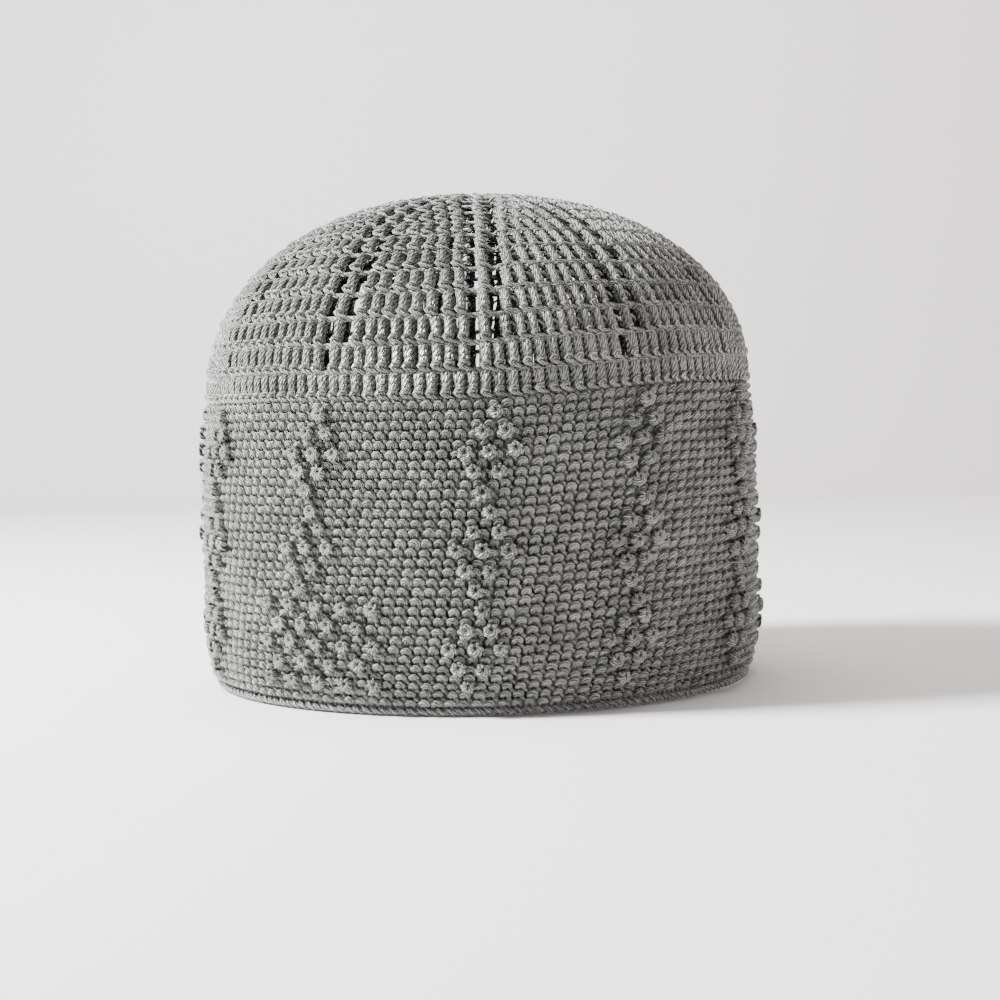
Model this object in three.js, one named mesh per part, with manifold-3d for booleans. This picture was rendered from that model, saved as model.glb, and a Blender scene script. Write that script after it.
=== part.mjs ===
// A crocheted kufi: a deep round cap worked in rounds from the middle of its crown down to its rim.
// Millimetres, +Z up, the front column of bobbles towards -Y, the origin under the middle of the cap.
import * as THREE from "three";
import { mergeVertices } from "three/addons/utils/BufferGeometryUtils.js";
import Module from "manifold-3d";

const wasm = await Module();
wasm.setup();

// The cap's outside, without the bobbles
const WIDEST_RADIUS = 89.6; // across the band where it is fullest
const RIM_RADIUS = 86.2; // at the rim, which is drawn in
const CROWN_RADIUS = 87.6; // where the band meets the crown
const CROWN_RISE = 63.2; // from the crown's foot to its top
const CROWN_SQUARENESS = 2.18; // 2 is an ellipse, more is a fuller shoulder
const PULL_HEIGHT = 20; // the rim's drawing in ends this high
const FULLEST_HEIGHT = 55; // above this the band narrows to the crown
const DEPTH_SHARE = 0.957; // depth as a share of the width
const ROUND_RISE = 1.8; // the rounds stand this much higher at +X and lower at -X
const ROUND_WAVE = 0.8; // and swing this much between the four sides
const FRONT_SAG = 1.9; // and hang this much lower at the front
const SAG_SPREAD = 0.75; // radians to each side of the front where the sag ends
const WALL = 3.0; // thickness of the crocheted fabric
const SEAM = 0.3; // clearance between two pieces that meet

// The rounds of stitches
const EDGE_HEIGHT = 2.6; // the corded last round
const BAND_ROUNDS = 32;
const BAND_ROUND_HEIGHT = 2.785; // a round of short stitches
const CROWN_ROUNDS = 15; // rounds of tall stitches
const WEDGES = 12; // lines down the crown where each round grows

// The pairs of eyelets along each wedge line
const FIRST_EYELET_ROUND = 9; // counted from the crown's middle
const LAST_EYELET_ROUND = 13;
const EYELET_WIDTH = 3.0;
const EYELET_HEIGHT = 4.6;
const EYELET_OFFSET = 2.8; // from the wedge line to an eyelet's middle

// The bobbles, in columns of diamonds under the wedge lines
const BOBBLE_RADIUS = 2.5;
const BOBBLE_HEIGHT = 2.4; // how far one stands out of the band
const BOBBLE_ROOT = 1.0; // how deep its foot goes into the band
const BOBBLE_SPACING = 7.1; // side by side
const BOBBLE_ROW_ROUNDS = 2; // rounds from one row of bobbles to the next
const FIRST_BOBBLE_ROUND = 1.5; // rounds from the band's top to the first row
const DIAMOND = [1, 2, 3, 2, 1]; // bobbles in each row of a diamond
const DIAMONDS_PER_COLUMN = 3;
const SLANT = 1.15; // each row of a diamond lies this much further to the left
const DRIFT = 2.6; // and each diamond this much
// How far each column starts to the right of its wedge line, as shares of the spacing, round from the front
const COLUMN_SHIFTS = [0.08, -0.03, 0.18, 1, 0.9, 0.5, 0, -0.5, -0.9, -1.1, -0.85, -0.76];

// The plain lattice in the place of one diamond
const LATTICE = [5, 4, 5, 4, 5];
const LATTICE_COLUMN = 11;
const LATTICE_SPACING = 9.2; // side by side

const SEGMENTS = 48; // flats around the cap
const TOP_STEPS = 3; // flats from the last eyelet to the crown's top
const CURVE_STEPS = 400; // for measuring along the crown
const BAND_LEVELS = [0, 0.08, 0.2, 0.58, 1]; // shares of the band's height
const BOBBLE_SIDES = 5;
const FRONT = -Math.PI / 2; // direction of the first wedge line

const MATERIALS = {
  crown: { color: 0x79806f, roughness: 0.85, metalness: 0 },
  band: { color: 0x757c6c, roughness: 0.85, metalness: 0 },
  edge: { color: 0x70776a, roughness: 0.85, metalness: 0 },
};

const bandBase = EDGE_HEIGHT + SEAM;
const bandHeight = BAND_ROUNDS * BAND_ROUND_HEIGHT;
const bandTop = bandBase + bandHeight;
const crownBase = bandTop + SEAM;

// Outside radius of the rim and band at a height above the table
function bandRadius(z) {
  const drawnIn = Math.max(0, 1 - z / PULL_HEIGHT) ** 2;
  const narrowed = Math.max(0, (z - FULLEST_HEIGHT) / (bandTop - FULLEST_HEIGHT)) ** 2;
  return WIDEST_RADIUS - (WIDEST_RADIUS - RIM_RADIUS) * drawnIn - (WIDEST_RADIUS - CROWN_RADIUS) * narrowed;
}

// Outside radius of the band's wall, which is straight between two levels, at a height above its base
function wallRadius(height) {
  const level = height / bandHeight;
  const above = Math.max(1, BAND_LEVELS.findIndex((next) => next >= level));
  const [low, high] = BAND_LEVELS.slice(above - 1, above + 1);
  const foot = bandRadius(bandBase + low * bandHeight);
  const top = bandRadius(bandBase + high * bandHeight);
  return foot + ((top - foot) * (level - low)) / (high - low);
}

// The crown's curve above its foot, from share 0 at the foot to 1 at the top
function crownPoint(share, inset = 0) {
  const turn = (share * Math.PI) / 2;
  const radius = (CROWN_RADIUS - inset) * Math.cos(turn) ** (2 / CROWN_SQUARENESS);
  const height = (CROWN_RISE - inset) * Math.sin(turn) ** (2 / CROWN_SQUARENESS);
  return new THREE.Vector2(radius, height);
}

// Share of the crown's curve at the lower edge of a round, counted from the crown's middle
function crownShare(round) {
  const lengths = [0];
  for (let step = 1; step <= CURVE_STEPS; step += 1) {
    const chord = crownPoint(step / CURVE_STEPS).distanceTo(crownPoint((step - 1) / CURVE_STEPS));
    lengths.push(lengths[step - 1] + chord);
  }
  const wanted = (1 - round / CROWN_ROUNDS) * lengths[CURVE_STEPS];
  return lengths.findIndex((length) => length >= wanted) / CURVE_STEPS;
}

// A solid turned from a profile of [radius, height] pairs, with a flat's middle at the front
function turned(profile) {
  const points = profile.map(([radius, height]) => new THREE.Vector2(radius, height));
  return new THREE.LatheGeometry(points, SEGMENTS).rotateX(Math.PI / 2).rotateZ(Math.PI / SEGMENTS);
}

function toManifold(geometry) {
  geometry.deleteAttribute("normal");
  geometry.deleteAttribute("uv");
  const merged = mergeVertices(geometry, 1e-4);
  const vertProperties = new Float32Array(merged.attributes.position.array);
  const triVerts = new Uint32Array(merged.index.array);
  return new wasm.Manifold(new wasm.Mesh({ numProp: 3, vertProperties, triVerts }));
}

function toGeometry(manifold) {
  const mesh = manifold.getMesh();
  const geometry = new THREE.BufferGeometry();
  geometry.setAttribute("position", new THREE.BufferAttribute(mesh.vertProperties, 3));
  geometry.setIndex(new THREE.BufferAttribute(mesh.triVerts, 1));
  return geometry;
}

// Turns a geometry's +Z to the wall's outward direction and moves it to a point of the wall
function onWall(geometry, point, outward) {
  const side = new THREE.Vector3(0, 0, 1).cross(outward).normalize();
  const up = outward.clone().cross(side);
  return geometry.applyMatrix4(new THREE.Matrix4().makeBasis(side, up, outward).setPosition(point));
}

// Moves a point of the evenly round cap into the cap's oval plan and its sloping and sagging rounds
function settle(point) {
  const across = point.x / WIDEST_RADIUS;
  const back = point.y / WIDEST_RADIUS;
  const slope = ROUND_RISE * across - ROUND_WAVE * 2 * across * back;
  const upCrown = Math.max(0, point.z - bandTop) / (SEAM + CROWN_RISE);
  const share = Math.min(1, point.z / bandTop) - upCrown ** 2;
  const nearFront = Math.max(0, 1 - Math.abs(Math.atan2(point.x, -point.y)) / SAG_SPREAD);
  const sag = FRONT_SAG * nearFront * Math.min(1, point.z / PULL_HEIGHT) * (1 - upCrown) ** 2;
  return point.set(point.x, DEPTH_SHARE * point.y, point.z + slope * share - sag);
}

// A named piece that stands at its height, settled into the cap's form
function piece(name, geometry, base) {
  const position = geometry.attributes.position;
  for (let i = 0; i < position.count; i += 1) {
    const point = new THREE.Vector3().fromBufferAttribute(position, i);
    point.z += base;
    settle(point);
    position.setXYZ(i, point.x, point.y, point.z - base);
  }
  geometry.computeVertexNormals();
  const mesh = new THREE.Mesh(geometry, new THREE.MeshStandardMaterial(MATERIALS[name]));
  mesh.name = name;
  mesh.position.z = base;
  return mesh;
}

// The domed crown, pierced by the eyelets, with the edges of its flats between the rounds
function crown() {
  const rounds = [CROWN_ROUNDS];
  for (let round = LAST_EYELET_ROUND; round >= FIRST_EYELET_ROUND; round -= 1) {
    rounds.push(round);
  }
  for (let step = TOP_STEPS; step >= 0; step -= 1) {
    rounds.push(((FIRST_EYELET_ROUND - 1) * step) / TOP_STEPS);
  }
  const shares = rounds.map(crownShare);
  const outside = shares.map((share) => crownPoint(share).toArray());
  const inside = shares.map((share) => crownPoint(share, WALL).toArray()).reverse();
  let shell = toManifold(turned([...inside, ...outside]));
  for (let round = FIRST_EYELET_ROUND; round <= LAST_EYELET_ROUND; round += 1) {
    for (let wedge = 0; wedge < WEDGES; wedge += 1) {
      for (const side of [-1, 1]) {
        shell = shell.subtract(eyelet(round, FRONT + (wedge / WEDGES) * 2 * Math.PI, side));
      }
    }
  }
  return piece("crown", toGeometry(shell), crownBase);
}

// The cutter of one eyelet beside a wedge line, square to the crown in the middle of its round
function eyelet(round, wedgeAngle, side) {
  const below = crownPoint(crownShare(round));
  const above = crownPoint(crownShare(round - 1));
  const fall = above.clone().sub(below).normalize();
  const middle = above.add(below).divideScalar(2);
  const angle = wedgeAngle + (side * EYELET_OFFSET) / middle.x;
  const outward = new THREE.Vector3(Math.cos(wedgeAngle) * fall.y, Math.sin(wedgeAngle) * fall.y, -fall.x);
  const point = new THREE.Vector3(Math.cos(angle) * middle.x, Math.sin(angle) * middle.x, middle.y);
  return toManifold(onWall(new THREE.BoxGeometry(EYELET_WIDTH, EYELET_HEIGHT, 4 * WALL), point, outward));
}

// The straight band with its raised bobbles
function band() {
  const outside = BAND_LEVELS.map((level) => [bandRadius(bandBase + level * bandHeight), level * bandHeight]);
  const inside = outside.map(([radius, height]) => [radius - WALL, height]).reverse();
  let wall = toManifold(turned([...outside, ...inside, outside[0]]));
  for (let column = 0; column < WEDGES; column += 1) {
    for (let diamond = 0; diamond < DIAMONDS_PER_COLUMN; diamond += 1) {
      const isLattice = column === LATTICE_COLUMN && diamond === DIAMONDS_PER_COLUMN - 1;
      const rows = isLattice ? LATTICE : DIAMOND;
      const spacing = isLattice ? LATTICE_SPACING : BOBBLE_SPACING;
      rows.forEach((count, row) => {
        const start = COLUMN_SHIFTS[column] * BOBBLE_SPACING;
        const slanted = start + SLANT * ((rows.length - 1) / 2 - row) - DRIFT * diamond;
        const slide = isLattice ? start : slanted;
        const rounds = FIRST_BOBBLE_ROUND + BOBBLE_ROW_ROUNDS * (diamond * DIAMOND.length + row);
        for (let place = 0; place < count; place += 1) {
          const across = (place - (count - 1) / 2) * spacing + slide;
          const angle = FRONT + (column / WEDGES) * 2 * Math.PI + across / WIDEST_RADIUS;
          wall = wall.add(bobble(angle, bandHeight - rounds * BAND_ROUND_HEIGHT));
        }
      });
    }
  }
  return piece("band", toGeometry(wall), bandBase);
}

function bobble(angle, height) {
  const length = BOBBLE_HEIGHT + BOBBLE_ROOT;
  const outward = new THREE.Vector3(Math.cos(angle), Math.sin(angle), 0);
  const middle = wallRadius(height) + BOBBLE_HEIGHT - length / 2;
  const point = outward.clone().multiplyScalar(middle).setZ(height);
  const cone = new THREE.ConeGeometry(BOBBLE_RADIUS, length, BOBBLE_SIDES).rotateX(Math.PI / 2);
  return toManifold(onWall(cone, point, outward));
}

// The corded last round, flat underneath where the cap rests
function edge() {
  const chamfer = EDGE_HEIGHT / 4;
  const foot = bandRadius(0);
  const top = bandRadius(EDGE_HEIGHT);
  const outside = [[foot - chamfer, 0], [foot, chamfer], [top, EDGE_HEIGHT]];
  const inside = [[top - WALL, EDGE_HEIGHT], [foot - WALL, 0]];
  return piece("edge", turned([...outside, ...inside, outside[0]]), 0);
}

const kufi = new THREE.Group();
kufi.add(crown(), band(), edge());
const middle = new THREE.Box3().setFromObject(kufi, true).getCenter(new THREE.Vector3());
for (const mesh of kufi.children) {
  mesh.position.x -= middle.x;
  mesh.position.y -= middle.y;
}

export default kufi;
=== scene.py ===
# Crocheted kufi: the yarn of every stitch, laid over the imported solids. Metres, front at -Y.
import math
import bpy
import numpy as np
from mathutils import Matrix, Vector


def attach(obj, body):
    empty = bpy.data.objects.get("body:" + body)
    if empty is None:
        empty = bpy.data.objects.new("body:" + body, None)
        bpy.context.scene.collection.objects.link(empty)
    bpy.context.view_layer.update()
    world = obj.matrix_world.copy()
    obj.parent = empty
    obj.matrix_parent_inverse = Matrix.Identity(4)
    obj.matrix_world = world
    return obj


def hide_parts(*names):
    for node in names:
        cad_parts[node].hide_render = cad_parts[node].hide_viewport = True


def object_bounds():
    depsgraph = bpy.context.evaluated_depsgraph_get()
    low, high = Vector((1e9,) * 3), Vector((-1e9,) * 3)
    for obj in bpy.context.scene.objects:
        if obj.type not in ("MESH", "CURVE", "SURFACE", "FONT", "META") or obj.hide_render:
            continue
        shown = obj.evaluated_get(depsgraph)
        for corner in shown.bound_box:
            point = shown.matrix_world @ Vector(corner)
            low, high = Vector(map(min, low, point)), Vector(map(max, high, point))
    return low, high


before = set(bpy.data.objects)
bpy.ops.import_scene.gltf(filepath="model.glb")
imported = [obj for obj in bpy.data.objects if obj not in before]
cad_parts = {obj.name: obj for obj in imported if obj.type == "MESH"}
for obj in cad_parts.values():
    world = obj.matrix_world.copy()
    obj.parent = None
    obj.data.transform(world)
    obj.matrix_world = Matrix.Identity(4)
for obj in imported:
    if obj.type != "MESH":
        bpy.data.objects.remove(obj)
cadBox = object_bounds()
chance = np.random.default_rng(27)
mm = 0.001
print("kufi: solids loaded")

# the cap's form, as in the solids
capForm = {
    "widest": 89.6 * mm,
    "rim": 86.2 * mm,
    "crownFoot": 87.6 * mm,
    "crownRise": 63.2 * mm,
    "squareness": 2.18,  # 2 is an ellipse, more is a fuller shoulder
    "pullHeight": 20 * mm,
    "fullest": 55 * mm,
    "depthShare": 0.957,
    "roundRise": 1.8 * mm,
    "roundWave": 0.8 * mm,
    "frontSag": 1.9 * mm,
    "sagSpread": 0.75,  # radians to each side of the front
    "seam": 0.3 * mm,
    "edgeHeight": 2.6 * mm,
    "wedges": 12,
    "crownSteps": 900,  # points along the outline
    "bandSteps": 300,
}
crownFootHeight = cadBox[1].z - capForm["crownRise"]
bandTop = crownFootHeight - capForm["seam"]


def bandRadius(height):
    drawnIn = np.clip(1 - height / capForm["pullHeight"], 0, None) ** 2
    narrowed = np.clip((height - capForm["fullest"]) / (bandTop - capForm["fullest"]), 0, None) ** 2
    rimLoss = (capForm["widest"] - capForm["rim"]) * drawnIn
    return capForm["widest"] - rimLoss - (capForm["widest"] - capForm["crownFoot"]) * narrowed


# the wall's outline from the crown's middle down to the rim, with its length and outward direction
turn = np.linspace(1, 0, capForm["crownSteps"]) * math.pi / 2
crownRadius = capForm["crownFoot"] * np.cos(turn) ** (2 / capForm["squareness"])
crownHeight = crownFootHeight + capForm["crownRise"] * np.sin(turn) ** (2 / capForm["squareness"])
bandHeights = np.linspace(bandTop, 0, capForm["bandSteps"])
wallRadius = np.concatenate([crownRadius, bandRadius(bandHeights)])
wallHeight = np.concatenate([crownHeight, bandHeights])
wallDown = np.concatenate([[0], np.cumsum(np.hypot(np.diff(wallRadius), np.diff(wallHeight)))])
outwardRadius = -np.gradient(wallHeight, wallDown)
outwardHeight = np.gradient(wallRadius, wallDown)
crownLength = wallDown[len(crownRadius) - 1]
rimDown = wallDown[-1]


# a point of the wall: angle from the front towards +X, distance down from the crown's middle, distance out
def wallPoint(angle, down, out):
    radius = np.interp(down, wallDown, wallRadius) + out * np.interp(down, wallDown, outwardRadius)
    height = np.interp(down, wallDown, wallHeight) + out * np.interp(down, wallDown, outwardHeight)
    across = radius * np.sin(angle)
    back = -radius * np.cos(angle)
    slope = capForm["roundRise"] * across / capForm["widest"]
    slope = slope - capForm["roundWave"] * 2 * across * back / capForm["widest"] ** 2
    upCrown = np.clip(height - bandTop, 0, None) / (capForm["seam"] + capForm["crownRise"])
    share = np.clip(height / bandTop, 0, 1) - upCrown**2
    sag = capForm["frontSag"] * nearFront(angle) * np.clip(height / capForm["pullHeight"], 0, 1)
    sag = sag * (1 - upCrown) ** 2
    return np.stack([across, back * capForm["depthShare"], height + slope * share - sag], axis=-1)


# 1 at the front, falling to 0 where the sag ends
def nearFront(angle):
    aside = np.abs(np.arctan2(np.sin(angle), np.cos(angle)))
    return np.clip(1 - aside / capForm["sagSpread"], 0, None)


# slow unevenness of a handmade round: waves in a turn, and each wave's shift from round to round
handWaves = [(5, 1.7), (11, -2.3), (23, 4.1)]


def unevenness(angle, row, size):
    return size * sum(np.sin(angle * waves + row * shift) for waves, shift in handWaves) / len(handWaves)


# weights that turn a few chosen points into a smooth path of many
def smoothWeights(pointCount, stepCount):
    weights = np.zeros((stepCount, pointCount))
    for step, place in enumerate(np.linspace(0, pointCount - 1, stepCount)):
        first = min(int(place), pointCount - 2)
        t = place - first
        blend = [-t + 2 * t**2 - t**3, 2 - 5 * t**2 + 3 * t**3, t + 4 * t**2 - 3 * t**3, -(t**2) + t**3]
        for k, share in enumerate(blend):
            weights[step, min(max(first - 1 + k, 0), pointCount - 1)] += share / 2
    return weights


def smoothPath(points, stepCount):
    chosen = np.array(points)
    return smoothWeights(len(chosen), stepCount) @ chosen


# how any strand is laid
strandForm = {
    "openFrom": -25,  # degrees round its section where a strand without a back starts
    "openTo": 205,
    "mapUnit": 10 * mm,  # length of yarn in one unit of its map
    "openSides": 4,
    "closedSides": 5,
    "ringSides": 6,  # of a strand that runs round the whole cap
}


# strands of yarn along paths given as angle, down and out, each an array of strands by steps
# width and thick are half sizes, and an open strand has no back
def layYarn(angle, down, out, width, thick, sides, isOpen=False, tint=None):
    centre = wallPoint(angle, down, out)
    outward = wallPoint(angle, down, out + mm) - centre
    outward /= np.linalg.norm(outward, axis=-1, keepdims=True)
    along = np.gradient(centre, axis=1)
    along /= np.linalg.norm(along, axis=-1, keepdims=True)
    across = np.cross(along, outward)
    across /= np.linalg.norm(across, axis=-1, keepdims=True)
    lift = np.cross(across, along)
    if isOpen:
        section = np.radians(np.linspace(strandForm["openFrom"], strandForm["openTo"], sides + 1))
    else:
        section = np.linspace(0, 2 * math.pi, sides, endpoint=False)
    width = np.broadcast_to(width, angle.shape)[..., None, None]
    thick = np.broadcast_to(thick, angle.shape)[..., None, None]
    points = centre[:, :, None, :] + across[:, :, None, :] * width * np.cos(section)[:, None]
    points = points + lift[:, :, None, :] * thick * np.sin(section)[:, None]
    steps = np.linalg.norm(np.diff(centre, axis=1), axis=-1)
    length = np.concatenate([np.zeros((len(steps), 1)), np.cumsum(steps, axis=1)], axis=1)
    length += chance.uniform(0, strandForm["mapUnit"], (len(steps), 1))
    if tint is None:
        tint = chance.normal(0, 1, len(steps))
    return {"points": points, "length": length, "isOpen": isOpen, "tint": tint}


# one mesh from many strands, with a map of each strand's round and length, and a tint for each
def knitMesh(name, strands, material, node):
    points, corners, maps, tints = [], [], [], []
    base = 0
    for strand in strands:
        count, steps, sides, _ = strand["points"].shape
        spans = sides - 1 if strand["isOpen"] else sides
        s, k, i = np.meshgrid(np.arange(count), np.arange(steps - 1), np.arange(spans), indexing="ij")
        here = base + (s * steps + k) * sides
        nextSide = (i + 1) % sides
        quads = np.stack([here + i, here + sides + i, here + sides + nextSide, here + nextSide], axis=-1)
        corners.append(quads.reshape(-1, 4))
        roundShare = np.stack([i, i, i + 1, i + 1], axis=-1) / spans
        length = strand["length"] / strandForm["mapUnit"]
        lengthHere = np.stack([length[s, k], length[s, k + 1], length[s, k + 1], length[s, k]], axis=-1)
        maps.append(np.stack([roundShare, lengthHere], axis=-1).reshape(-1, 2))
        points.append(strand["points"].reshape(-1, 3))
        tints.append(np.repeat(strand["tint"], steps * sides))
        base += count * steps * sides
    points = np.concatenate(points)
    corners = np.concatenate(corners)
    mesh = bpy.data.meshes.new(name)
    mesh.vertices.add(len(points))
    mesh.vertices.foreach_set("co", points.astype(np.float32).ravel())
    mesh.loops.add(corners.size)
    mesh.loops.foreach_set("vertex_index", corners.astype(np.int32).ravel())
    mesh.polygons.add(len(corners))
    mesh.polygons.foreach_set("loop_start", np.arange(0, corners.size, 4, dtype=np.int32))
    mesh.update(calc_edges=True)
    strandMap = mesh.uv_layers.new(name="strand")
    strandMap.uv.foreach_set("vector", np.concatenate(maps).astype(np.float32).ravel())
    tintLayer = mesh.attributes.new("tint", "FLOAT", "POINT")
    tintLayer.data.foreach_set("value", np.concatenate(tints).astype(np.float32))
    mesh.polygons.foreach_set("use_smooth", np.ones(len(corners), dtype=bool))
    piece = bpy.data.objects.new(name, mesh)
    bpy.context.scene.collection.objects.link(piece)
    mesh.materials.append(material)
    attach(piece, "root")
    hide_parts(node)
    print(f"kufi: {name}, {2 * len(corners)} triangles")


# yarn colour and relief: plies wound round each strand with painted shade in their grooves, fibres along it,
# a painted highlight at the bright end of the colour ramp, and slow changes of tone over the cap
yarnLook = {
    # the ramp's dark end is painted shade: it falls in the grooves between the plies
    "shade": (0.036, 0.039, 0.034),
    "shadeAt": 0.15,  # place on the ramp
    "middle": (0.121, 0.127, 0.114),
    "middleAt": 0.48,
    # the ramp's bright end, far lighter than the yarn's sage: painted highlight on the fibres
    "paintedHighlight": (0.51, 0.525, 0.485),
    "paintedHighlightAt": 0.85,
    "crownTone": 1.02,
    "bandTone": 1.0,
    "edgeTone": 0.96,
    "plies": 4,  # ridges round a strand
    "twist": 5.5,  # turns of the plies in 10 mm
    # the plies' ridges lighten the colour and their grooves darken it: painted shade in the grooves
    "plyGroovePaintedShade": 0.42,  # how much the plies count in the shade
    "fibreRound": 4.5,
    "fibreAlong": 4,
    "fibreSlant": 4,
    "fibreScale": 1.6,
    "fibreDetail": 3,
    "fibreRoughness": 0.6,
    "fibreShare": 1.15,
    "patchScale": 55,
    "patchDetail": 2,
    "patchShare": 0.35,
    "tintShare": 0.05,
    "start": -0.34,  # added to the shade
    "bump": 1.0,
    "bumpDepth": 0.85 * mm,
    "plyBump": 0.7,
    "roughness": 0.32,
    "specular": 0.9,
    "sheen": 0.25,
    "sheenRoughness": 0.5,
}


def yarnMaterial(name, tone):
    material = bpy.data.materials.new(name)
    material.use_nodes = True
    nodes, links = material.node_tree.nodes, material.node_tree.links
    shader = nodes["Principled BSDF"]
    shader.inputs["Roughness"].default_value = yarnLook["roughness"]
    shader.inputs["Sheen Weight"].default_value = yarnLook["sheen"]
    shader.inputs["Sheen Roughness"].default_value = yarnLook["sheenRoughness"]
    shader.inputs["Specular IOR Level"].default_value = yarnLook["specular"]

    def reckon(operation, a, b=None, c=None):
        node = nodes.new("ShaderNodeMath")
        node.operation = operation
        for socket, value in zip(node.inputs, (a, b, c)):
            if isinstance(value, bpy.types.NodeSocket):
                links.new(value, socket)
            elif value is not None:
                socket.default_value = value
        return node.outputs[0]

    strandMap = nodes.new("ShaderNodeUVMap")
    strandMap.uv_map = "strand"
    split = nodes.new("ShaderNodeSeparateXYZ")
    links.new(strandMap.outputs["UV"], split.inputs[0])
    around, along = split.outputs["X"], split.outputs["Y"]
    # ply ridges round each strand, used for the relief and for painted shade in the grooves between plies
    turns = reckon("ADD", reckon("MULTIPLY", around, yarnLook["plies"]),
                   reckon("MULTIPLY", along, yarnLook["twist"]))
    ply = reckon("ABSOLUTE", reckon("SINE", reckon("MULTIPLY", turns, math.pi)))

    stretch = nodes.new("ShaderNodeCombineXYZ")
    links.new(reckon("ADD", reckon("MULTIPLY", around, yarnLook["fibreRound"]),
                     reckon("MULTIPLY", along, yarnLook["fibreSlant"])), stretch.inputs["X"])
    links.new(reckon("MULTIPLY", along, yarnLook["fibreAlong"]), stretch.inputs["Y"])
    fibre = nodes.new("ShaderNodeTexNoise")
    fibre.inputs["Scale"].default_value = yarnLook["fibreScale"]
    fibre.inputs["Detail"].default_value = yarnLook["fibreDetail"]
    fibre.inputs["Roughness"].default_value = yarnLook["fibreRoughness"]
    links.new(stretch.outputs[0], fibre.inputs["Vector"])

    place = nodes.new("ShaderNodeTexCoord")
    patch = nodes.new("ShaderNodeTexNoise")
    patch.inputs["Scale"].default_value = yarnLook["patchScale"]
    patch.inputs["Detail"].default_value = yarnLook["patchDetail"]
    links.new(place.outputs["Object"], patch.inputs["Vector"])

    tint = nodes.new("ShaderNodeAttribute")
    tint.attribute_name = "tint"
    patchPart = reckon("MULTIPLY", reckon("SUBTRACT", patch.outputs["Fac"], 0.5), yarnLook["patchShare"])
    level = reckon("MULTIPLY_ADD", ply, yarnLook["plyGroovePaintedShade"], yarnLook["start"])
    level = reckon("ADD", level, reckon("MULTIPLY", fibre.outputs["Fac"], yarnLook["fibreShare"]))
    level = reckon("ADD", level, patchPart)
    level = reckon("ADD", level, reckon("MULTIPLY", tint.outputs["Fac"], yarnLook["tintShare"]))
    # the ramp runs from painted shade through the middle tone to painted highlight
    ramp = nodes.new("ShaderNodeValToRGB")
    stops = ramp.color_ramp.elements
    stops[0].position = yarnLook["shadeAt"]
    stops[1].position = yarnLook["paintedHighlightAt"]
    stops.new(yarnLook["middleAt"])
    for stop, shade in zip(stops, ("shade", "middle", "paintedHighlight")):
        stop.color = [c * tone for c in yarnLook[shade]] + [1]
    links.new(level, ramp.inputs["Fac"])
    links.new(ramp.outputs["Color"], shader.inputs["Base Color"])

    bump = nodes.new("ShaderNodeBump")
    bump.inputs["Strength"].default_value = yarnLook["bump"]
    bump.inputs["Distance"].default_value = yarnLook["bumpDepth"]
    relief = reckon("ADD", reckon("MULTIPLY", ply, yarnLook["plyBump"]), fibre.outputs["Fac"])
    links.new(relief, bump.inputs["Height"])
    links.new(bump.outputs["Normal"], shader.inputs["Normal"])
    return material


crownYarn = yarnMaterial("sageYarnCrown", yarnLook["crownTone"])
bandYarn = yarnMaterial("sageYarnBand", yarnLook["bandTone"])
edgeYarn = yarnMaterial("sageYarnEdge", yarnLook["edgeTone"])
print("kufi: yarn dyed")

# the band: rounds of short stitches, each an arch whose two legs go in under the next round
bandStitch = {
    "rounds": 32,
    "roundHeight": 2.785 * mm,
    "stitches": 144,
    "step": -0.15,  # each round starts this share of a stitch to the left
    "wave": 0.16 * mm,  # slow unevenness of a round
    "sunk": -1.0 * mm,
    "width": 0.86 * mm,
    "thick": 0.76 * mm,
    "loose": 0.045,  # unevenness as a share of a stitch
    "looseReach": 2,  # how much more of it goes into a stitch's breadth
    "looseOut": 2 * mm,
    "looseThick": 1.5,
    # the strand's path: share of a stitch to the right, share of the round down, mm out
    "arch": [(-0.17, 1.00, -1.5), (-0.21, 0.80, -0.40), (-0.20, 0.57, 0.34), (-0.09, 0.45, 0.62),
             (0.09, 0.45, 0.55), (0.20, 0.56, 0.26), (0.21, 0.79, -0.45), (0.17, 0.98, -1.5)],
    "archSteps": 8,
    # a bit of the yarn that joins two stitches, seen between their tops
    "join": [(0.30, 0.02, -0.9), (0.42, 0.10, -0.05), (0.56, 0.26, -0.15), (0.64, 0.42, -1.0)],
    "joinSteps": 4,
    "joinWidth": 0.50 * mm,
    "pieces": ("band_rounds_upper", "band_rounds_middle", "band_rounds_lower"),
}


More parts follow.
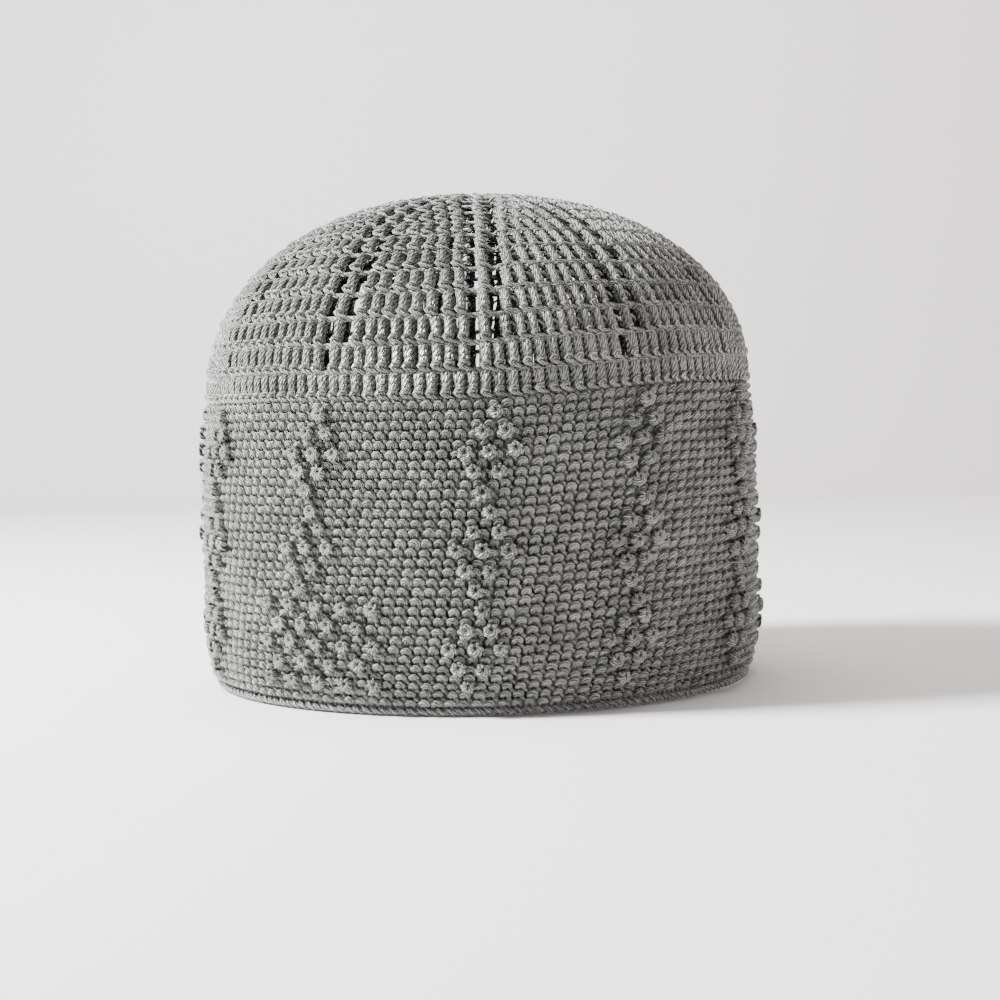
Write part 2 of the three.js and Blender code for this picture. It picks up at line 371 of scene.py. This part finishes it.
def bandRoundsYarn(firstRound, lastRound):
    turnOfStitch = 2 * math.pi / bandStitch["stitches"]
    rounds, stitches = np.arange(firstRound, lastRound), np.arange(bandStitch["stitches"])
    row, stitch = (grid.ravel() for grid in np.meshgrid(rounds, stitches, indexing="ij"))
    angle = (stitch + 0.5 + bandStitch["step"] * row) * turnOfStitch
    top = crownLength + capForm["seam"] + row * bandStitch["roundHeight"]
    top = top + unevenness(angle, row, bandStitch["wave"])
    loose = chance.normal(0, bandStitch["loose"], (len(row), 4))
    tint = chance.normal(0, 1, len(row))

    def lay(path, reach, looseOut, width, thick):
        right = path[None, :, 0] * reach + loose[:, 0:1]
        down = path[None, :, 1] + loose[:, 1:2]
        out = path[None, :, 2] * mm + bandStitch["sunk"] + looseOut * loose[:, 2:3]
        return layYarn(angle[:, None] + right * turnOfStitch, top[:, None] + down * bandStitch["roundHeight"],
                       out, width, thick, strandForm["openSides"], isOpen=True, tint=tint)

    reach = 1 + bandStitch["looseReach"] * loose[:, 3:4]
    swell = 1 + bandStitch["looseThick"] * loose[:, 0:1]
    arches = lay(smoothPath(bandStitch["arch"], bandStitch["archSteps"]), reach, bandStitch["looseOut"],
                 bandStitch["width"] * swell, bandStitch["thick"] * swell)
    joins = lay(smoothPath(bandStitch["join"], bandStitch["joinSteps"]), 1, 0,
                bandStitch["joinWidth"], bandStitch["joinWidth"])
    return [arches, joins]


thirds = np.linspace(0, bandStitch["rounds"], len(bandStitch["pieces"]) + 1).round().astype(int)
for name, first, last in zip(bandStitch["pieces"], thirds, thirds[1:]):
    knitMesh(name, bandRoundsYarn(first, last), bandYarn, "band")

# the inside of the band, where the same stitches show their backs
bandInside = {
    "back": -1.75 * mm,
    "inner": -2.75 * mm,
    "ridge": 0.28 * mm,
    "topGap": 0.2 * mm,
    "turnLength": 540 * mm,  # yarn along one turn, for its map
}


def bandBack():
    stitches, rounds = bandStitch["stitches"] * 2, bandStitch["rounds"] * 2
    foot = rimDown - crownLength - capForm["edgeHeight"] / 2
    down = crownLength + np.linspace(bandInside["topGap"], foot, rounds + 1)
    angle = np.linspace(0, 2 * math.pi, stitches + 1)
    downGrid, angleGrid = np.meshgrid(down, angle, indexing="ij")
    row, column = np.meshgrid(np.arange(rounds + 1), np.arange(stitches + 1), indexing="ij")
    relief = bandInside["ridge"] * np.where((row + column % 2) % 2 == 0, 1, -1)
    inner = wallPoint(angleGrid, downGrid, bandInside["inner"] + relief)
    outer = wallPoint(angleGrid[::rounds], downGrid[::rounds], bandInside["back"])
    closed = np.concatenate([outer[:1], inner, outer[1:], outer[:1]])
    length = np.linspace(0, bandInside["turnLength"], stitches + 1)
    # rings run round the cap, so steps are stitches and sides go down the wall
    points = closed.transpose(1, 0, 2)[None]
    return {"points": points, "length": length[None], "isOpen": True, "tint": np.zeros(1)}


knitMesh("band_inside", [bandBack()], bandYarn, "band")

# the crown: rounds of tall stitches, each a twisted post with a knot at its foot that runs on as a chain
crownStitch = {
    # stitches of each round between two wedge lines, which have one of their own
    "between": [0, 1, 1, 2, 2, 3, 4, 5, 6, 6, 7, 8, 9, 10, 11],
    "eyelet": 0.55,  # an eyelet adds this share of a stitch beside a wedge line
    "firstEyelet": 3,
    "lastEyelet": 13,
    "halfEyelet": 14,  # the round with only the left one, where the close last rounds start
    "ringRoom": 1.6 * mm,  # the first round starts this far from the middle
    "wave": 0.2 * mm,
    "sunk": -1.0 * mm,
    "strand": 0.60 * mm,  # half thickness of a post's strand
    # the three strands in front of a post: mm aside, mm out, half width in mm, tint
    "strands": [(-0.73, -0.14, 0.60, -0.4), (0.0, 0.16, 0.60, 0.6), (0.73, -0.14, 0.60, 0.2)],
    # its tint of -1.6 makes this strand darker than the posts: painted shade behind them
    "behind": (0.0, -1.25, 1.70, -1.6),  # the flat strand behind them
    "behindShare": 0.47,  # its least half width as a share of a stitch, away from the wedge lines
    "sway": 0.22 * mm,  # the strands of a post wind round each other this much
    "swayTurn": 4,  # radians of winding along a post
    "swayStart": 2,
    "swayAside": 2,
    "full": 1.12,  # the last rounds are this much fuller
    "fullPitch": 3.5 * mm,  # stitches closer than this get thinner strands
    "thinnest": 0.75,
    "leanLeft": 0.04,  # the post's top lies this share of a stitch to the left of its foot
    "leanRight": 0.36,
    "leanRightLow": 0.22,  # in the last rounds
    "leanTurn": 0.12,
    "frontDrop": 0.9 * mm,  # the rounds hang this much lower at the front, more than the cap's sag
    "dropRounds": 8,
    "postTop": 0.02,
    "postFoot": 0.88,
    "postOut": [-1.0, 0.22, 0.40, 0.34, 0.26, 0.16, 0.0, -0.45],
    "loose": 0.055,
    # share of a stitch to the right, share of the round down, mm out
    "chain": [(0.26, 0.66, -0.60), (0.10, 0.71, 0.50), (-0.20, 0.77, 0.70), (-0.27, 0.87, 0.55),
              (0.00, 0.93, 0.45), (0.28, 0.97, 0.25), (0.50, 1.01, -0.2), (0.64, 1.04, -1.2)],
    # on the right half the chain lies flatter, a short loop caps each post and a bar runs between posts
    "chainRight": [(0.28, 0.70, -0.70), (0.12, 0.76, 0.35), (-0.10, 0.82, 0.60), (-0.24, 0.90, 0.52),
                   (0.04, 0.95, 0.50), (0.34, 0.97, 0.42), (0.60, 0.98, 0.30), (0.86, 0.99, -0.8)],
    "chainSteps": 9,
    "chainStrand": [0.42, 0.60, 0.76, 0.76, 0.64, 0.54, 0.48, 0.42, 0.34],  # half thickness in mm
    # this tint makes the chain and the knot at each post's foot lighter than the posts: painted highlight
    "chainTint": 0.6,
    "cap": [(-0.48, 0.10, -0.9), (-0.34, 0.05, 0.25), (-0.05, 0.05, 0.55), (0.24, 0.14, 0.30),
            (0.30, 0.24, -0.6)],
    "capStrand": 0.52 * mm,
    "bar": [(0.05, 0.36, -0.75), (0.34, 0.38, -0.10), (0.60, 0.46, -0.20), (0.86, 0.56, -1.0)],
    "barStrand": 0.42 * mm,
    "loopSteps": 5,
    # this tint makes the caps and bars lighter than the posts: painted highlight
    "loopTint": 0.4,
    # the ring behind the foot of each round
    "ringHeight": 0.90 * mm,
    "ringThick": 0.60 * mm,
    "ringOut": -0.95 * mm,
    # the small ring that closes the crown's middle
    "middleRadius": 1.5 * mm,
    "middleOut": -1.2 * mm,
    "middleStrand": 0.6 * mm,
    "middleSteps": 24,
    "pieces": {"crown_rounds_top": (1, 8), "crown_rounds_middle": (9, 12), "crown_rounds_low": (13, 15)},
}
crownRoundHeight = crownLength / len(crownStitch["between"])


# where a crown round lies, with its drop at the front
def crownDown(number, angle):
    start = number * crownRoundHeight
    drop = crownStitch["frontDrop"] * nearFront(angle)
    drop = drop * np.clip(start / (crownStitch["dropRounds"] * crownRoundHeight), 0, 1) ** 2
    drop = drop * np.clip(len(crownStitch["between"]) - number, 0, 1)
    return start + drop + unevenness(angle, number, crownStitch["wave"])


def crownRound(number):
    between = crownStitch["between"][number - 1]
    isPierced = crownStitch["firstEyelet"] <= number <= crownStitch["lastEyelet"]
    isClose = number >= crownStitch["halfEyelet"]
    afterLine = crownStitch["eyelet"] if isPierced else 0
    beforeLine = crownStitch["eyelet"] if isPierced or number == crownStitch["halfEyelet"] else 0
    stitchesInWedge = between + 1 + afterLine + beforeLine
    places = np.concatenate([[0], np.arange(1, between + 1) + afterLine]) / stitchesInWedge
    turnOfWedge = 2 * math.pi / capForm["wedges"]
    turnOfStitch = turnOfWedge / stitchesInWedge
    angle = (np.arange(capForm["wedges"])[:, None] + places[None]).ravel() * turnOfWedge
    order = np.arange(between + 1)
    isInner = np.tile((order > 1) & (order < between), capForm["wedges"])
    top = crownDown(number - 1, angle)
    tall = crownDown(number, angle) - top
    if number == 1:
        top = top + crownStitch["ringRoom"]
        tall = tall - crownStitch["ringRoom"]
    middleRadius = np.interp((number - 0.5) * crownRoundHeight, wallDown, wallRadius)
    pitch = middleRadius * turnOfStitch
    full = crownStitch["full"] if isClose else 1
    full = full * np.clip(pitch / crownStitch["fullPitch"], crownStitch["thinnest"], 1)
    side = 0.5 + 0.5 * np.tanh(np.sin(angle) / crownStitch["leanTurn"])
    leanRight = crownStitch["leanRightLow"] if isClose else crownStitch["leanRight"]
    lean = crownStitch["leanLeft"] + side * (leanRight - crownStitch["leanLeft"])
    shift = chance.normal(0, crownStitch["loose"], (len(angle), 3))
    tint = chance.normal(0, 1, len(angle))
    start = chance.uniform(0, crownStitch["swayStart"], len(angle))
    share = np.linspace(0, 1, len(crownStitch["postOut"]))
    strands = []

    def post(aside, proud, halfWidth, lighter, sides):
        right = (lean[:, None] + shift[:, 1:2]) * (share - 0.5)[None] + shift[:, 0:1]
        winding = crownStitch["swayTurn"] * share[None] + start[:, None] + crownStitch["swayAside"] * aside
        sideways = (aside * full * mm + crownStitch["sway"] * np.sin(winding)) / middleRadius
        down = crownStitch["postTop"] + share * (crownStitch["postFoot"] - crownStitch["postTop"])
        out = proud * mm + np.array(crownStitch["postOut"])[None] * mm + mm * shift[:, 2:3]
        strands.append(layYarn(angle[:, None] + right * turnOfStitch + sideways,
                               top[:, None] + tall[:, None] * down[None], out + crownStitch["sunk"],
                               halfWidth, crownStitch["strand"], sides, tint=tint + lighter))

    def loop(path, steps, chosen, strand, lighter):
        smooth = smoothPath(path, steps)
        lying = lean[chosen][:, None] * (smooth[None, :, 1] - 0.5)
        right = smooth[None, :, 0] + lying + shift[chosen][:, 0:1]
        out = smooth[None, :, 2] * mm + crownStitch["sunk"] + mm * shift[chosen][:, 2:3]
        down = top[chosen][:, None] + tall[chosen][:, None] * smooth[None, :, 1]
        strands.append(layYarn(angle[chosen][:, None] + right * turnOfStitch, down, out, strand, strand,
                               strandForm["closedSides"], tint=tint[chosen] + lighter))

    for aside, proud, wide, lighter in crownStitch["strands"]:
        post(aside, proud, full * wide * mm, lighter, strandForm["closedSides"])
    aside, proud, wide, lighter = crownStitch["behind"]
    least = np.where(isInner, crownStitch["behindShare"] * pitch, 0)
    post(aside, proud, np.maximum(full * wide * mm, least)[:, None], lighter, strandForm["openSides"])
    isRight = side > 0.5
    isFlat = isRight & (not isClose)
    chainStrand = np.array(crownStitch["chainStrand"])[None] * mm * full
    for chain, chosen in (("chain", ~isFlat), ("chainRight", isFlat)):
        if chosen.any():
            loop(crownStitch[chain], crownStitch["chainSteps"], chosen, chainStrand, crownStitch["chainTint"])
    for path, strand in (("cap", "capStrand"), ("bar", "barStrand")):
        if path == "cap" or not isClose:
            loop(crownStitch[path], crownStitch["loopSteps"], isRight, crownStitch[strand],
                 crownStitch["loopTint"])
    ring = np.linspace(0, 2 * math.pi, len(angle) * 2 + 1)[None]
    ringOut = crownStitch["sunk"] + crownStitch["ringOut"] + 0 * ring
    strands.append(layYarn(ring, crownDown(number, ring), ringOut, crownStitch["ringHeight"],
                           crownStitch["ringThick"], strandForm["ringSides"]))
    return strands


def crownMiddle():
    ring = np.linspace(0, 2 * math.pi, crownStitch["middleSteps"] + 1)[None]
    return layYarn(ring, crownStitch["middleRadius"] + 0 * ring, crownStitch["middleOut"] + 0 * ring,
                   crownStitch["middleStrand"], crownStitch["middleStrand"], strandForm["ringSides"])


for name, (first, last) in crownStitch["pieces"].items():
    strands = [strand for number in range(first, last + 1) for strand in crownRound(number)]
    if first == 1:
        strands.append(crownMiddle())
    knitMesh(name, strands, crownYarn, "crown")

# the bobbles: columns of diamonds, each bobble a rosette of gathered loops round a small hole
bobbleLook = {
    "spacing": 7.1 * mm,
    "rowRounds": 2,
    "firstRound": 1.5,
    "diamond": [1, 2, 3, 2, 1],
    "diamonds": 3,
    "slant": 1.15 * mm,
    "drift": 2.6 * mm,
    # each column's place to the right of its wedge line, as shares of the spacing, round from the front
    "columnShifts": [0.08, -0.03, 0.18, 1, 0.9, 0.5, 0, -0.5, -0.9, -1.1, -0.85, -0.76],
    "lattice": [5, 4, 5, 4, 5],  # a plain lattice in place of one diamond
    "latticeColumn": 11,
    "latticeSpacing": 9.2 * mm,
    "loops": 7,
    "holeAside": 0.20 * mm,
    "holeUp": 0.85 * mm,
    "hole": 0.48 * mm,
    "reach": 1.80 * mm,
    "rise": 2.1 * mm,
    "sizeSpread": 0.06,
    "spin": 0.35,  # radians that a bobble is turned at most
    "curl": 0.3,  # radians that a loop winds round the hole
    "curlSpread": 0.55,
    "loopWidth": [0.36, 0.60, 0.95, 1.05, 0.95, 0.75],  # in mm, step by step
    "loopThick": 0.26 * mm,
    "loose": 0.22 * mm,
    # a tint of -0.6 makes the bobbles darker than the band: painted shade
    "tint": -0.6,
    "loopTint": 0.5,  # every second loop is lighter
    # along a loop from the hole to the band: share of the reach, share of the rise
    "ball": [(0, 0.10), (0.18, 0.86), (0.52, 1.0), (0.84, 0.84), (1.0, 0.40), (0.96, -0.2)],
}


def bobblePlaces():
    places = []
    for column in range(capForm["wedges"]):
        columnAngle = 2 * math.pi * column / capForm["wedges"]
        for diamond in range(bobbleLook["diamonds"]):
            isLattice = column == bobbleLook["latticeColumn"] and diamond == bobbleLook["diamonds"] - 1
            rows = bobbleLook["lattice"] if isLattice else bobbleLook["diamond"]
            spacing = bobbleLook["latticeSpacing"] if isLattice else bobbleLook["spacing"]
            for row, count in enumerate(rows):
                start = bobbleLook["columnShifts"][column] * bobbleLook["spacing"]
                slant = bobbleLook["slant"] * ((len(rows) - 1) / 2 - row)
                slide = start if isLattice else start + slant - bobbleLook["drift"] * diamond
                rounds = bobbleLook["firstRound"] + bobbleLook["rowRounds"] * (diamond * len(rows) + row)
                down = crownLength + capForm["seam"] + rounds * bandStitch["roundHeight"]
                for place in range(count):
                    across = (place - (count - 1) / 2) * spacing + slide
                    places.append((columnAngle + across / capForm["widest"], down))
    return np.array(places)


def bobbleLoops():
    radius = capForm["widest"]
    places = bobblePlaces()
    places = places + chance.normal(0, 1, places.shape) * bobbleLook["loose"] * [1 / radius, 1]
    size = chance.normal(1, bobbleLook["sizeSpread"], len(places))[:, None]
    spin = chance.uniform(-bobbleLook["spin"], bobbleLook["spin"], len(places))
    curl = chance.normal(bobbleLook["curl"], bobbleLook["curlSpread"], len(places))
    tint = chance.normal(bobbleLook["tint"], 1, len(places))
    share, crest = np.array(bobbleLook["ball"]).T
    reach = bobbleLook["hole"] + share * (bobbleLook["reach"] - bobbleLook["hole"])
    loopWidth = np.array(bobbleLook["loopWidth"])[None] * mm
    strands = []
    for loop in range(bobbleLook["loops"]):
        way = 2 * math.pi * (loop + 0.5) / bobbleLook["loops"] + spin
        wound = way[:, None] + curl[:, None] * share
        right = reach * np.sin(wound) * size + bobbleLook["holeAside"] * (1 - share)
        up = reach * np.cos(wound) * size + bobbleLook["holeUp"] * (1 - share)
        strands.append(layYarn(places[:, 0:1] + right / radius, places[:, 1:2] - up,
                               bobbleLook["rise"] * crest * size, loopWidth, bobbleLook["loopThick"],
                               strandForm["openSides"], isOpen=True,
                               tint=tint + bobbleLook["loopTint"] * (loop % 2)))
    return strands


knitMesh("bobbles", bobbleLoops(), bandYarn, "band")

# the edge: a last round of slip stitches that reads as a two-strand cord
edgeCord = {
    "links": 192,
    "linkSteps": 4,
    "strand": 0.66 * mm,
    "apart": 0.6 * mm,
    "outShare": 1.2,  # the strands wind this much more outwards than down
    "middleOut": -1.45 * mm,
}


def rimCord():
    angle = np.linspace(0, 2 * math.pi, edgeCord["links"] * edgeCord["linkSteps"] + 1)[None]
    strands = []
    for half in (0, math.pi):
        wound = angle * edgeCord["links"] / 2 + half
        out = edgeCord["middleOut"] + edgeCord["outShare"] * edgeCord["apart"] * np.cos(wound)
        down = rimDown - capForm["edgeHeight"] / 2 + edgeCord["apart"] * np.sin(wound)
        strands.append(layYarn(angle, down, out, edgeCord["strand"], edgeCord["strand"],
                               strandForm["ringSides"]))
    return strands


knitMesh("edge_cord", rimCord(), edgeYarn, "edge")

# floor and backdrop in one pale sweep
studio = {
    "floorColour": (0.82, 0.80, 0.79, 1),
    "floorRoughness": 0.9,
    "floorHalf": 6,
    "floorFront": -6,
    "floorBack": 1.1,
    "bend": 0.35,
    "bendSteps": 12,
    "wallHeight": 2.0,
    "worldColour": (0.93, 0.95, 1.0, 1),
    "worldLight": 0.20,
}


def sweep():
    back, bend = studio["floorBack"], studio["bend"]
    outline = [(studio["floorFront"], 0.0)]
    for bent in np.linspace(0, math.pi / 2, studio["bendSteps"]):
        outline.append((back + bend * math.sin(bent), bend * (1 - math.cos(bent))))
    outline.append((back + bend, studio["wallHeight"]))
    points = [(x, y, z) for y, z in outline for x in (-studio["floorHalf"], studio["floorHalf"])]
    faces = [(2 * i, 2 * i + 1, 2 * i + 3, 2 * i + 2) for i in range(len(outline) - 1)]
    mesh = bpy.data.meshes.new("studio_sweep")
    mesh.from_pydata(points, [], faces)
    mesh.polygons.foreach_set("use_smooth", [True] * len(faces))
    floor = bpy.data.objects.new("studio_sweep", mesh)
    bpy.context.scene.collection.objects.link(floor)
    material = bpy.data.materials.new("palePaper")
    material.use_nodes = True
    shader = material.node_tree.nodes["Principled BSDF"]
    shader.inputs["Base Color"].default_value = studio["floorColour"]
    shader.inputs["Roughness"].default_value = studio["floorRoughness"]
    mesh.materials.append(material)


sweep()
world = bpy.data.worlds.new("studio")
world.use_nodes = True
world.node_tree.nodes["Background"].inputs["Color"].default_value = studio["worldColour"]
world.node_tree.nodes["Background"].inputs["Strength"].default_value = studio["worldLight"]
bpy.context.scene.world = world

# lamps: place, aim, size, power, colour
lamps = {
    "window_left": ((-0.96, -0.12, 0.78), (0, 0, 0.08), 0.26, 80, (0.98, 0.99, 1.0)),
    "front_soft": ((0.05, -1.3, 0.8), (0, 0, 0.08), 1.0, 1.1, (1.0, 0.98, 0.94)),
    "right_fill": ((1.2, -0.05, 0.35), (0, 0, 0.08), 0.7, 6.4, (1.0, 0.92, 0.83)),
    "backdrop": ((0, 0.3, 1.5), (0, 1.3, 0.3), 1.2, 25, (1.0, 0.98, 0.97)),
}
for name, (place, aim, size, power, colour) in lamps.items():
    lamp = bpy.data.lights.new(name, "AREA")
    lamp.size = size
    lamp.energy = power
    lamp.color = colour
    holder = bpy.data.objects.new(name, lamp)
    holder.location = place
    holder.rotation_euler = (Vector(aim) - Vector(place)).to_track_quat("-Z", "Y").to_euler()
    bpy.context.scene.collection.objects.link(holder)
print("kufi: floor and lamps set")

# camera at the photo's place
view = {
    "eye": (-15.5 * mm, -582.3 * mm, 88.0 * mm),
    "yaw": 2.16,  # degrees to the right
    "pitch": 3.05,  # degrees down
    "roll": 1.08,  # degrees clockwise
    "lens": 64.2,
    "sensor": 36,
    "nearest": 10 * mm,
}


def placeCamera():
    camera = bpy.data.cameras.new("camera")
    camera.lens = view["lens"]
    camera.sensor_width = view["sensor"]
    camera.clip_start = view["nearest"]
    holder = bpy.data.objects.new("camera", camera)
    yaw = Matrix.Rotation(-math.radians(view["yaw"]), 4, "Z")
    pitch = Matrix.Rotation(math.radians(90 - view["pitch"]), 4, "X")
    roll = Matrix.Rotation(-math.radians(view["roll"]), 4, "Z")
    holder.matrix_world = Matrix.Translation(view["eye"]) @ yaw @ pitch @ roll
    bpy.context.scene.collection.objects.link(holder)
    bpy.context.scene.camera = holder


placeCamera()
print("kufi: camera placed")
